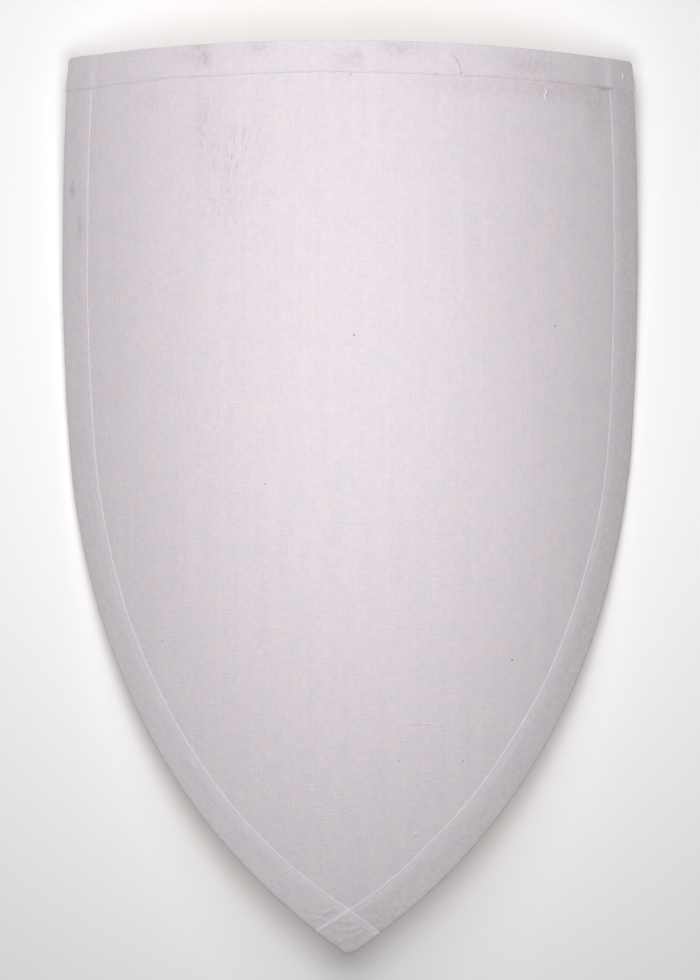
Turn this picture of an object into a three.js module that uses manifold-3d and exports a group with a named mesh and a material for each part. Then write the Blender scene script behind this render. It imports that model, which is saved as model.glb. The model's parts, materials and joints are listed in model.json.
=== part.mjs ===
// A blank heater shield: a bent plywood board, faced with primed canvas and bound with canvas strips.
// Millimetres, +Z up. The shield lies face up on its two long edges, with its tip towards -Y.

import * as THREE from "three";
import { mergeVertices } from "three/addons/utils/BufferGeometryUtils.js";
import Module from "manifold-3d";

const wasm = await Module();
wasm.setup();

// Driving dimensions. The flat pattern is the board's front face unrolled: x across it, y up from the tip.
const BEND_RADIUS = 480; // the board's front face, about an axis that runs from top to tip
const BOARD_THICKNESS = 9;
const CANVAS_THICKNESS = 0.8;
const STRIP_THICKNESS = 0.9;
const GLUE_LINE = 0.3; // between the board and each layer of cloth

const TOP_HEIGHT = 868.5;
const TOP_SKEW = 0.006; // the top was sawn a little out of square, so its right end is lower
const CORNER_RADIUS = 5;
const TIP_RADIUS = 8;
const WIDEST_HALF = 306.4; // half the girth at the widest place
const WIDEST_HEIGHT = 681;
const SHOULDER_RADIUS = 2261; // the long, nearly straight upper part of each side
const FLANK_HEIGHT = 502.5; // where the shoulder runs into the flank
const FLANK_RADIUS = 662.4; // the round lower part of each side
const SIDE_STRIP_WIDTH = 31;
const TOP_STRIP_WIDTH = 28.5;
const LAP_STEP = 2; // the slope where a strip climbs over another

const REST_FLAT_DEPTH = 0.4; // worn off each long edge where the shield lies

// How finely the round shapes are cut into flats
const FACET_ANGLE = THREE.MathUtils.degToRad(3);
const FACET_COUNT = 27; // odd, so that one flat lies along the middle
const FACET_LENGTHS = 3; // along each flat, so that the middle length ends clear of the strips
const OUTLINE_STEP = 24;
const ROUNDING_STEP = 3;

const CANVAS_TOP = GLUE_LINE + CANVAS_THICKNESS;
const STRIP_LAYER = GLUE_LINE + STRIP_THICKNESS;

// Solids and geometries

function solidOf(geometry) {
  const bare = geometry.clone();
  bare.deleteAttribute("normal");
  bare.deleteAttribute("uv");
  const merged = mergeVertices(bare);
  return new wasm.Manifold(
    new wasm.Mesh({
      numProp: 3,
      vertProperties: merged.attributes.position.array,
      triVerts: new Uint32Array(merged.index.array),
    }),
  );
}

function geometryOf(solid) {
  const mesh = solid.getMesh();
  const geometry = new THREE.BufferGeometry();
  geometry.setAttribute("position", new THREE.BufferAttribute(mesh.vertProperties, 3));
  geometry.setIndex(new THREE.BufferAttribute(mesh.triVerts, 1));
  const flats = geometry.toNonIndexed();
  flats.computeVertexNormals();
  return flats;
}

// The volume's centre, summed over the tetrahedra that the triangles make with the origin.
function centreOf(solid) {
  const { vertProperties, triVerts } = solid.getMesh();
  const corner = (i) => new THREE.Vector3().fromArray(vertProperties, 3 * triVerts[i]);
  const sum = new THREE.Vector3();
  let volume = 0;
  for (let i = 0; i < triVerts.length; i += 3) {
    const [a, b, c] = [corner(i), corner(i + 1), corner(i + 2)];
    const part = a.dot(new THREE.Vector3().crossVectors(b, c)) / 6;
    sum.addScaledVector(a.add(b).add(c), part / 4);
    volume += part;
  }
  return sum.divideScalar(volume);
}

// The flat pattern

const shoulder = { x: WIDEST_HALF - SHOULDER_RADIUS, y: WIDEST_HEIGHT, radius: SHOULDER_RADIUS };
const jointAngle = Math.asin((FLANK_HEIGHT - WIDEST_HEIGHT) / SHOULDER_RADIUS);
const radiusChange = SHOULDER_RADIUS - FLANK_RADIUS;
const flank = {
  x: shoulder.x + radiusChange * Math.cos(jointAngle),
  y: shoulder.y + radiusChange * Math.sin(jointAngle),
  radius: FLANK_RADIUS,
};

function arc({ x, y, radius }, from, to, step) {
  const count = Math.max(2, Math.round((radius * Math.abs(to - from)) / step));
  return new THREE.EllipseCurve(x, y, radius, radius, from, to, to < from).getPoints(count);
}

const inset = (circle, distance) => ({ ...circle, radius: circle.radius - distance });
const mirrored = (points) => points.map((p) => new THREE.Vector2(-p.x, p.y)).reverse();
const angleTo = (circle, point) => Math.atan2(point.y - circle.y, point.x - circle.x);

// The right half of the board's edge, from the tip up to the middle of the top.
function rightEdge() {
  const tipReach = FLANK_RADIUS - TIP_RADIUS;
  const tip = { x: 0, y: flank.y - Math.sqrt(tipReach ** 2 - flank.x ** 2), radius: TIP_RADIUS };
  const cornerY = TOP_HEIGHT - CORNER_RADIUS;
  const cornerReach = SHOULDER_RADIUS - CORNER_RADIUS;
  const cornerX = shoulder.x + Math.sqrt(cornerReach ** 2 - (cornerY - shoulder.y) ** 2);
  const corner = { x: cornerX, y: cornerY, radius: CORNER_RADIUS };
  const tipAngle = angleTo(flank, tip);
  const cornerAngle = angleTo(shoulder, corner);
  const topEdge = new THREE.LineCurve(
    new THREE.Vector2(cornerX, TOP_HEIGHT),
    new THREE.Vector2(0, TOP_HEIGHT),
  );
  return [
    ...arc(tip, -Math.PI / 2, tipAngle, ROUNDING_STEP),
    ...arc(flank, tipAngle, jointAngle, OUTLINE_STEP).slice(1),
    ...arc(shoulder, jointAngle, cornerAngle, OUTLINE_STEP).slice(1),
    ...arc(corner, cornerAngle, Math.PI / 2, ROUNDING_STEP).slice(1),
    ...topEdge.getPoints(Math.round(cornerX / OUTLINE_STEP)).slice(1),
  ];
}

function boardOutline() {
  const right = rightEdge();
  const skewed = (p) => {
    const fall = p.y > TOP_HEIGHT - CORNER_RADIUS ? TOP_SKEW * p.x : 0;
    return new THREE.Vector2(p.x, p.y - fall);
  };
  return [...right, ...mirrored(right.slice(1, -1))].map(skewed);
}

function grown(points, distance) {
  return points.map((p, i) => {
    const before = points.at(i - 1);
    const after = points[(i + 1) % points.length];
    const along = after.clone().sub(before).normalize();
    return new THREE.Vector2(p.x + along.y * distance, p.y - along.x * distance);
  });
}

// The part of the flat pattern that a strip covers. Lines past the edges leave the trimming to the outline.
const PAST_EDGE = 60;
const PAST_SIDE = WIDEST_HALF + 25;

function rightStripZone(extra = 0) {
  const width = SIDE_STRIP_WIDTH + extra;
  const innerFlank = inset(flank, width);
  const innerShoulder = inset(shoulder, width);
  const lowAngle = -Math.acos((-PAST_EDGE - flank.x) / innerFlank.radius);
  const highAngle = Math.asin((TOP_HEIGHT + PAST_EDGE - shoulder.y) / innerShoulder.radius);
  return [
    new THREE.Vector2(-PAST_EDGE, -PAST_EDGE),
    new THREE.Vector2(PAST_SIDE, -PAST_EDGE),
    new THREE.Vector2(PAST_SIDE, TOP_HEIGHT + PAST_EDGE),
    ...arc(innerShoulder, highAngle, jointAngle, OUTLINE_STEP),
    ...arc(innerFlank, jointAngle, lowAngle, OUTLINE_STEP).slice(1),
  ];
}

const leftStripZone = (extra = 0) => mirrored(rightStripZone(extra));

function topStripZone() {
  const low = TOP_HEIGHT - TOP_STRIP_WIDTH;
  const high = TOP_HEIGHT + PAST_EDGE;
  return [
    new THREE.Vector2(-PAST_SIDE, low),
    new THREE.Vector2(PAST_SIDE, low),
    new THREE.Vector2(PAST_SIDE, high),
    new THREE.Vector2(-PAST_SIDE, high),
  ];
}

// The bend: a point of the flat pattern, at a height above the board's front face.
function bent(point, height) {
  const angle = point.x / BEND_RADIUS;
  const radius = BEND_RADIUS + height;
  return new THREE.Vector3(radius * Math.sin(angle), point.y, radius * Math.cos(angle) - BEND_RADIUS);
}

// A closed ring of flat-pattern points, carried square through the bend. The middle levels hold the layers
// of the shield closely, and the caps stand far enough off for their long chords to miss it.
const PRISM_LEVELS = [-0.7 * BEND_RADIUS, -2 * BOARD_THICKNESS, BOARD_THICKNESS, BEND_RADIUS];

function radialPrism(points) {
  const count = points.length;
  const corners = PRISM_LEVELS.flatMap((height) => points.map((p) => bent(p, height)));
  const lastRing = corners.length - count;
  const index = [];
  for (const [a, b, c] of THREE.ShapeUtils.triangulateShape(points, [])) {
    index.push(c, b, a);
    index.push(a + lastRing, b + lastRing, c + lastRing);
  }
  for (let ring = 0; ring < lastRing; ring += count) {
    for (let i = 0; i < count; i++) {
      const here = ring + i;
      const next = ring + ((i + 1) % count);
      index.push(here, next, next + count);
      index.push(here, next + count, here + count);
    }
  }
  const geometry = new THREE.BufferGeometry().setFromPoints(corners);
  geometry.setIndex(index);
  return solidOf(geometry);
}

// A bent layer between two heights, with no outline yet.
function bentLayer(bottom, top) {
  const angles = Array.from({ length: FACET_COUNT + 1 }, (_, i) => (i - FACET_COUNT / 2) * FACET_ANGLE);
  const at = (angle, height) => {
    const p = bent(new THREE.Vector2(angle * BEND_RADIUS, 0), height);
    return new THREE.Vector2(p.x, p.z);
  };
  const ring = [...angles.map((a) => at(a, bottom)), ...angles.reverse().map((a) => at(a, top))];
  const length = TOP_HEIGHT + 2 * PAST_EDGE;
  const geometry = new THREE.ExtrudeGeometry(new THREE.Shape(ring), {
    depth: length,
    steps: FACET_LENGTHS,
    bevelEnabled: false,
  });
  geometry.rotateX(Math.PI / 2);
  geometry.translate(0, TOP_HEIGHT + PAST_EDGE, 0);
  return solidOf(geometry);
}

const outline = boardOutline();

function bentSheet(bottom, top, growth = 0) {
  return bentLayer(bottom, top).intersect(radialPrism(grown(outline, growth)));
}

// The cloth's way round the covered board, from one distance off it to another.
function wrapping(from, to) {
  const around = (distance) => bentSheet(-BOARD_THICKNESS - distance, CANVAS_TOP + distance, distance);
  return around(to).subtract(around(from));
}

const firstLayer = wrapping(GLUE_LINE, STRIP_LAYER);
const secondLayer = wrapping(STRIP_LAYER + GLUE_LINE, 2 * STRIP_LAYER);
const bothLayers = wrapping(GLUE_LINE, 2 * STRIP_LAYER);

// A strip lies on the board, and climbs over the strips that were glued down before it.
function foldedStrip(zone, zonesBelow) {
  const place = radialPrism(zone());
  let strip = firstLayer.intersect(place);
  for (const below of zonesBelow) {
    const keptOff = radialPrism(below(GLUE_LINE));
    const lapped = radialPrism(below(GLUE_LINE + LAP_STEP)).intersect(place);
    const climb = bothLayers.intersect(lapped).subtract(keptOff);
    const over = secondLayer.intersect(lapped);
    strip = strip.subtract(keptOff).add(climb).add(over);
  }
  return strip;
}

const board = bentSheet(-BOARD_THICKNESS, 0);
const canvas = bentSheet(GLUE_LINE, CANVAS_TOP);
const rightStrip = foldedStrip(rightStripZone, []);
const leftStrip = foldedStrip(leftStripZone, [rightStripZone]);
const topStrip = foldedStrip(topStripZone, [rightStripZone, leftStripZone]);

// How it lies: on the stretch of each long edge that the board's weight stands over.

function restingLine(weight) {
  const edge = grown(outline, STRIP_LAYER).map((p) => bent(p, -BOARD_THICKNESS - STRIP_LAYER));
  const rising = edge.slice(0, rightEdge().length);
  for (let i = 1; i < rising.length; i++) {
    const start = rising[i - 1];
    const along = new THREE.Vector2(rising[i].y - start.y, rising[i].z - start.z);
    const toWeight = new THREE.Vector2(weight.y - start.y, weight.z - start.z);
    const share = toWeight.dot(along) / along.lengthSq();
    if (share >= 0 && share <= 1) return { start, along };
  }
  throw new Error("the weight stands over no part of the edge");
}

const resting = restingLine(centreOf(board));
const pitch = -Math.atan2(resting.along.y, resting.along.x);
const floorHeight = resting.start.y * Math.sin(pitch) + resting.start.z * Math.cos(pitch) + REST_FLAT_DEPTH;

function floorBlock() {
  const size = 3 * TOP_HEIGHT;
  const geometry = new THREE.BoxGeometry(size, size, size);
  geometry.translate(0, 0, floorHeight - size / 2);
  geometry.rotateX(-pitch);
  return solidOf(geometry);
}

const floor = floorBlock();

// Finishes

const primedCanvas = new THREE.MeshStandardMaterial({ color: 0xe6dfe5, roughness: 0.92, metalness: 0 });
const plywood = new THREE.MeshStandardMaterial({ color: 0xc9a877, roughness: 0.7, metalness: 0 });

function piece(name, solid, material) {
  const mesh = new THREE.Mesh(geometryOf(solid), material.clone());
  mesh.name = name;
  return mesh;
}

const shield = new THREE.Group();
shield.add(piece("board", board, plywood));
shield.add(piece("canvas_face", canvas, primedCanvas));
shield.add(piece("right_edge_strip", rightStrip.subtract(floor), primedCanvas));
shield.add(piece("left_edge_strip", leftStrip.subtract(floor), primedCanvas));
shield.add(piece("top_edge_strip", topStrip, primedCanvas));
shield.rotation.x = pitch;
shield.position.z = -floorHeight;
shield.updateMatrixWorld(true);
const middle = new THREE.Box3().setFromObject(shield, true).getCenter(new THREE.Vector3());
shield.position.x = -middle.x;
shield.position.y = -middle.y;

const lying = new THREE.Group();
lying.add(shield);
export default lying;
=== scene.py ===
import json
import math

import bpy
import numpy as np
from mathutils import Matrix, Vector


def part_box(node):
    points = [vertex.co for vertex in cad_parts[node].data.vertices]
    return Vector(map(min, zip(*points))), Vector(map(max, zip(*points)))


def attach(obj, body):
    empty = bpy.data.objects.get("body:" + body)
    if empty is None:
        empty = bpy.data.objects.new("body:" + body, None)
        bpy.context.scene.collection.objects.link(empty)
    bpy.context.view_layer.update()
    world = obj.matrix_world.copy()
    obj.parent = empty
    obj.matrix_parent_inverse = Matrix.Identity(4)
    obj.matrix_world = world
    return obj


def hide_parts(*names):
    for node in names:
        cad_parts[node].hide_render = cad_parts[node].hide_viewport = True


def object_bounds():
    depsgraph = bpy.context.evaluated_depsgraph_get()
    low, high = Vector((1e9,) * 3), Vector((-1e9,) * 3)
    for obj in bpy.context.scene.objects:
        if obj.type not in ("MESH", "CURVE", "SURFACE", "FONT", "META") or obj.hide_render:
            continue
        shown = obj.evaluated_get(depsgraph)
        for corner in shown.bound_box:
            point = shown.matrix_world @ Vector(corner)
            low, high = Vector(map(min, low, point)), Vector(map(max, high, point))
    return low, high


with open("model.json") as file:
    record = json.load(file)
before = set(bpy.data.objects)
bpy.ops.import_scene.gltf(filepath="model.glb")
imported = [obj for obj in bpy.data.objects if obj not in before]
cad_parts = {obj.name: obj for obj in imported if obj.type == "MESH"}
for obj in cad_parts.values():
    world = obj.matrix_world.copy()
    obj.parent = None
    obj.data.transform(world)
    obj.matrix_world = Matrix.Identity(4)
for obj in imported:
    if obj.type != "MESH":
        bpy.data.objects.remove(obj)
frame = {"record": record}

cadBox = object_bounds()
mm = 0.001

# A blank heater shield. Every piece is cut flat first, in millimetres: across from the middle, up from
# the tip, and a height above the board's front. One rule then bends the pieces over the board and lays
# them down.


# Small tools

def linearColour(hexText):
    channels = [int(hexText[i:i + 2], 16) / 255 for i in (1, 3, 5)]
    linear = [c / 12.92 if c <= 0.04045 else ((c + 0.055) / 1.055) ** 2.4 for c in channels]
    return (*linear, 1.0)


def addNode(tree, kind, inputs=None, **settings):
    node = tree.nodes.new(kind)
    for name, value in settings.items():
        setattr(node, name, value)
    for key, value in (inputs or {}).items():
        if isinstance(value, bpy.types.NodeSocket):
            tree.links.new(value, node.inputs[key])
        else:
            node.inputs[key].default_value = value
    return node


def ramp(x, low, high):                      # 0 below low, 1 above high, and smooth between them
    t = np.clip((x - low) / (high - low), 0, 1)
    return t * t * (3 - 2 * t)


def softNoise(u, v, cellU, cellV, seed):     # from -1 to 1, on a lattice of the given cells
    lattice = np.random.default_rng(seed).uniform(-1, 1, (64, 64))
    x, y = u / cellU + 640, v / cellV + 640
    i, j = np.floor(x).astype(int), np.floor(y).astype(int)
    a, b = ramp(x - i, 0, 1), ramp(y - j, 0, 1)
    low = lattice[i % 64, j % 64] * (1 - a) + lattice[(i + 1) % 64, j % 64] * a
    high = lattice[i % 64, (j + 1) % 64] * (1 - a) + lattice[(i + 1) % 64, (j + 1) % 64] * a
    return low * (1 - b) + high * b


# The flat pattern of the board

shieldShape = {
    "bendRadius": 480.0, "thickness": 9.0, "glueLine": 0.3,
    "topHeight": 868.5, "cornerRadius": 3.4, "tipRadius": 8.0,
    "widestHalf": 306.4, "widestHeight": 681.0,
    "shoulderRadius": 2261.0, "flankHeight": 502.5, "flankRadius": 662.4,
    # the top was sawn a little out of square, in this band of heights
    "topSkew": 0.006, "skewBand": (846, 866),
    # the tip leans to the left, less and less higher up and across this band
    "tipLean": 2.0, "leanFade": 26, "leanBand": (-8, 16),
    # the top left corner is cut back, and the right one a little the other way
    "cornerPull": 1.8, "pullBand": (838, 866), "pullReach": 290, "pullRight": 0.6,
    "leftTrim": 0.7, "trimBand": (60, 300),  # the left side was planed a little more
    # hand-cut sides: share, length and row of each wave, and its seed
    "edgeWobble": 0.35, "wobbles": [(1.0, 44, 40, 21), (0.6, 17, 90, 22)],
}

shoulderCentre = np.array((
    shieldShape["widestHalf"] - shieldShape["shoulderRadius"], shieldShape["widestHeight"]))
jointAngle = math.asin(
    (shieldShape["flankHeight"] - shieldShape["widestHeight"]) / shieldShape["shoulderRadius"])
jointDirection = np.array((math.cos(jointAngle), math.sin(jointAngle)))
flankCentre = shoulderCentre + (shieldShape["shoulderRadius"] - shieldShape["flankRadius"]) * jointDirection
edgeStep = 0.4                               # how closely the outline is followed


def arcPoints(centre, radius, start, end):
    count = max(3, int(abs(end - start) * radius / edgeStep))
    angles = np.linspace(start, end, count)
    return np.column_stack((centre[0] + radius * np.cos(angles), centre[1] + radius * np.sin(angles)))


def angleFrom(centre, point):
    return math.atan2(point[1] - centre[1], point[0] - centre[0])


def rightEdge():                             # from the tip up the right side to the middle of the top
    s = shieldShape
    tip = (0.0, flankCentre[1] - math.sqrt((s["flankRadius"] - s["tipRadius"]) ** 2 - flankCentre[0] ** 2))
    cornerY = s["topHeight"] - s["cornerRadius"]
    reach = s["shoulderRadius"] - s["cornerRadius"]
    corner = (shoulderCentre[0] + math.sqrt(reach ** 2 - (cornerY - shoulderCentre[1]) ** 2), cornerY)
    tipAngle, cornerAngle = angleFrom(flankCentre, tip), angleFrom(shoulderCentre, corner)
    runs = [
        arcPoints(tip, s["tipRadius"], -math.pi / 2, tipAngle),
        arcPoints(flankCentre, s["flankRadius"], tipAngle, jointAngle),
        arcPoints(shoulderCentre, s["shoulderRadius"], jointAngle, cornerAngle),
        arcPoints(corner, s["cornerRadius"], cornerAngle, math.pi / 2),
        np.linspace((corner[0], s["topHeight"]), (0, s["topHeight"]), int(corner[0] / edgeStep)),
    ]
    return np.concatenate([runs[0]] + [run[1:] for run in runs[1:]])


edgePoints = rightEdge()
edgeRun = np.concatenate(([0], np.cumsum(np.linalg.norm(np.diff(edgePoints, axis=0), axis=1))))
halfRound = edgeRun[-1]                      # from the tip to the middle of the top


def pointAt(run):                            # run is the way round from the tip, positive up the right side
    run = (np.asarray(run, float) + halfRound) % (2 * halfRound) - halfRound
    across = np.interp(np.abs(run), edgeRun, edgePoints[:, 0]) * np.sign(run)
    return np.column_stack((across, np.interp(np.abs(run), edgeRun, edgePoints[:, 1])))


def outwardAt(run):
    along = pointAt(run + 0.6) - pointAt(run - 0.6)
    along /= np.linalg.norm(along, axis=1)[:, None]
    return np.column_stack((along[:, 1], -along[:, 0]))


def runAtHeight(v):                          # on the right side, below the top corner
    rising = edgePoints[:, 1] < shieldShape["topHeight"] - 0.01
    return float(np.interp(v, edgePoints[rising, 1], edgeRun[rising]))


def handCut(u, v):                           # the outline's small faults, the same for every layer
    s = shieldShape
    skew = s["topSkew"] * u * ramp(v, *s["skewBand"])
    lean = s["tipLean"] * np.exp(-np.clip(v, 0, None) / s["leanFade"]) * (1 - ramp(u, *s["leanBand"]))
    corner = s["cornerPull"] * ramp(v, *s["pullBand"]) * np.clip(u / s["pullReach"], -1, s["pullRight"])
    pull = s["leftTrim"] * ramp(-u, *s["trimBand"]) - corner
    side = np.clip(np.abs(u) / s["widestHalf"], 0, 1.1) ** 4 * np.sign(u)
    wobble = sum(share * softNoise(v, np.sign(u) * row, length, 30, seed)
                 for share, length, row, seed in s["wobbles"])
    return u - lean + pull + s["edgeWobble"] * side * wobble, v - skew


def insideStrip(u, v, width):                # how far a place lies inside the right strip's inner edge
    s = shieldShape
    onFlank = np.hypot(u - flankCentre[0], v - flankCentre[1]) - s["flankRadius"]
    onShoulder = np.hypot(u - shoulderCentre[0], v - shoulderCentre[1]) - s["shoulderRadius"]
    return np.where(v < s["flankHeight"], onFlank, onShoulder) + width


# Laying a flat piece over the bend, as Geometry Nodes

strapAxis = frame["record"]["mounts"][0]["axis"]
lyingPitch = math.atan2(strapAxis[1], -strapAxis[2])     # the strap faces tell how far the shield leans
boardLow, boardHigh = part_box("board")
laying = {
    "Bend Radius": shieldShape["bendRadius"] * mm,
    "Lying Pitch": lyingPitch,
    "Forward": boardLow.y - edgePoints[0, 1] * mm * math.cos(lyingPitch),
    "Lift": boardHigh.z - shieldShape["topHeight"] * mm * math.sin(lyingPitch),
    "Floor": cadBox[0].z,
}


def newTree(name, inputs):
    tree = bpy.data.node_groups.new(name, "GeometryNodeTree")
    tree.interface.new_socket(name="Geometry", in_out="INPUT", socket_type="NodeSocketGeometry")
    for label, kind in inputs.items():
        tree.interface.new_socket(name=label, in_out="INPUT", socket_type="NodeSocket" + kind)
    tree.interface.new_socket(name="Geometry", in_out="OUTPUT", socket_type="NodeSocketGeometry")
    return tree, addNode(tree, "NodeGroupInput").outputs


def runTree(piece, tree, values):
    modifier = piece.modifiers.new(tree.name, "NODES")
    modifier.node_group = tree
    for item in tree.interface.items_tree:
        if item.in_out == "INPUT" and item.name in values:
            modifier[item.identifier] = values[item.name]


def makeLayingTree():
    floats = {name: "Float" for name in laying}
    tree, given = newTree("layOverTheBend", {**floats, "Finish": "Material"})
    place = addNode(tree, "GeometryNodeInputPosition").outputs[0]
    flat = addNode(tree, "ShaderNodeSeparateXYZ", {0: place}).outputs
    radius = given["Bend Radius"]
    angle = addNode(tree, "ShaderNodeMath", {0: flat["X"], 1: radius}, operation="DIVIDE").outputs[0]
    reach = addNode(tree, "ShaderNodeMath", {0: flat["Z"], 1: radius}, operation="ADD").outputs[0]
    sine = addNode(tree, "ShaderNodeMath", {0: angle}, operation="SINE").outputs[0]
    cosine = addNode(tree, "ShaderNodeMath", {0: angle}, operation="COSINE").outputs[0]
    across = addNode(tree, "ShaderNodeMath", {0: reach, 1: sine}, operation="MULTIPLY").outputs[0]
    rise = addNode(tree, "ShaderNodeMath", {0: reach, 1: cosine}, operation="MULTIPLY").outputs[0]
    height = addNode(tree, "ShaderNodeMath", {0: rise, 1: radius}, operation="SUBTRACT").outputs[0]
    bent = addNode(tree, "ShaderNodeCombineXYZ", {"X": across, "Y": flat["Y"], "Z": height}).outputs[0]
    curved = addNode(tree, "GeometryNodeSetPosition", {
        "Geometry": given["Geometry"], "Position": bent}).outputs[0]
    tilt = addNode(tree, "ShaderNodeCombineXYZ", {"X": given["Lying Pitch"]}).outputs[0]
    shift = addNode(tree, "ShaderNodeCombineXYZ", {"Y": given["Forward"], "Z": given["Lift"]}).outputs[0]
    lying = addNode(tree, "GeometryNodeTransform",
                    {"Geometry": curved, "Translation": shift, "Rotation": tilt}).outputs[0]
    # the edges are worn flat where they meet the floor
    ground = addNode(tree, "ShaderNodeCombineXYZ", {"X": -10.0, "Y": -10.0, "Z": given["Floor"]}).outputs[0]
    worn = addNode(tree, "ShaderNodeVectorMath", {0: place, 1: ground}, operation="MAXIMUM").outputs[0]
    settled = addNode(tree, "GeometryNodeSetPosition", {"Geometry": lying, "Position": worn}).outputs[0]
    whole = addNode(tree, "GeometryNodeRealizeInstances", {"Geometry": settled}).outputs[0]
    done = addNode(tree, "GeometryNodeSetMaterial", {
        "Geometry": whole, "Material": given["Finish"]}).outputs[0]
    addNode(tree, "NodeGroupOutput", {"Geometry": done})
    return tree


layingTree = makeLayingTree()
print("laying rule: pitch %.2f degrees, lift %.4f m" % (math.degrees(lyingPitch), laying["Lift"]))


def plainMesh(piece):                        # the evaluated piece as a plain mesh, with no modifier left
    depsgraph = bpy.context.evaluated_depsgraph_get()
    shown = piece.evaluated_get(depsgraph)
    mesh = bpy.data.meshes.new_from_object(shown, preserve_all_data_layers=True, depsgraph=depsgraph)
    piece.modifiers.clear()
    piece.data = mesh
    mesh.name = piece.name


sharpestBend = math.radians(65)              # cut ends stay crisp, folds and rolled edges smooth


def layDown(piece, finish):
    runTree(piece, layingTree, {**laying, "Finish": finish})
    plainMesh(piece)
    piece.data.materials.clear()
    piece.data.materials.append(finish)
    piece.data.shade_smooth()
    piece.data.set_sharp_from_angle(angle=sharpestBend)


def newPiece(name, points, faces, cloth=None, **marks):
    u, v = handCut(points[:, 0], points[:, 1])
    places = np.column_stack((u, v, points[:, 2])) * mm
    mesh = bpy.data.meshes.new(name)
    mesh.from_pydata(places.tolist(), [], faces)
    mesh.validate()
    flat = points[:, :2] if cloth is None else cloth
    corners = np.zeros(len(mesh.loops), int)
    mesh.loops.foreach_get("vertex_index", corners)
    uvMap = mesh.uv_layers.new(name="flat")
    uvMap.data.foreach_set("uv", (flat[corners] * mm).astype(np.float32).ravel())
    for label, values in marks.items():
        mesh.attributes.new(label, "FLOAT", "POINT").data.foreach_set("value", np.float32(values))
    piece = bpy.data.objects.new(name, mesh)
    bpy.context.scene.collection.objects.link(piece)
    return piece


def finishPiece(piece, node):
    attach(piece, "root")
    if node:
        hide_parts(node)
    print("%s: %d triangles" % (piece.name, sum(len(p.vertices) - 2 for p in piece.data.polygons)))


# Finishes

def newMaterial(name):
    material = bpy.data.materials.new(name)
    material.use_nodes = True
    material.node_tree.nodes.clear()
    return material, material.node_tree


# Primed canvas: chalky white primer brushed into an uneven plain weave. Dead matt and faintly lavender.
# Threads show as soft streaks both ways, and painted shade lies in the weave's low places where the primer is
# thin.
# Built-up primer is whiter with a painted highlight, and grime and painted shade break up over the weave.
canvasFinish = {
    # the grime colour lays real dirt and also painted shade along the strips' edges
    "cool": "#EEE6ED", "warm": "#F0E7EC", "thinAndHollowShade": "#D2CAD1", "builtUpAndHighlight": "#FFFCFE", "grime": "#705F60",
    # cell across and along the cloth in mm: real threads are 0.6 apart, drawn coarser to show
    "cells": {"warp": (1.8, 9.0), "weft": (8.5, 2.0), "streak": (4.2, 150.0), "brush": (15.0, 260.0),
              "mottle": (19.0, 23.0), "fleck": (4.5, 5.5), "scuff": (2.2, 17.0)},
    "scuffLean": 9.0,        # degrees that the scuffs lean to the right
    "streakShare": 0.42, "brushShare": 0.34, "mottleShare": 0.26,
    "thinAndShadeSpread": 0.6, "thinAndShadeMost": 0.6,      # how softly and how far the primer thins and the weave's low places take painted shade
    "threadRelief": 0.00028, "roughness": 0.92, "specular": 0.2,
}


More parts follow.
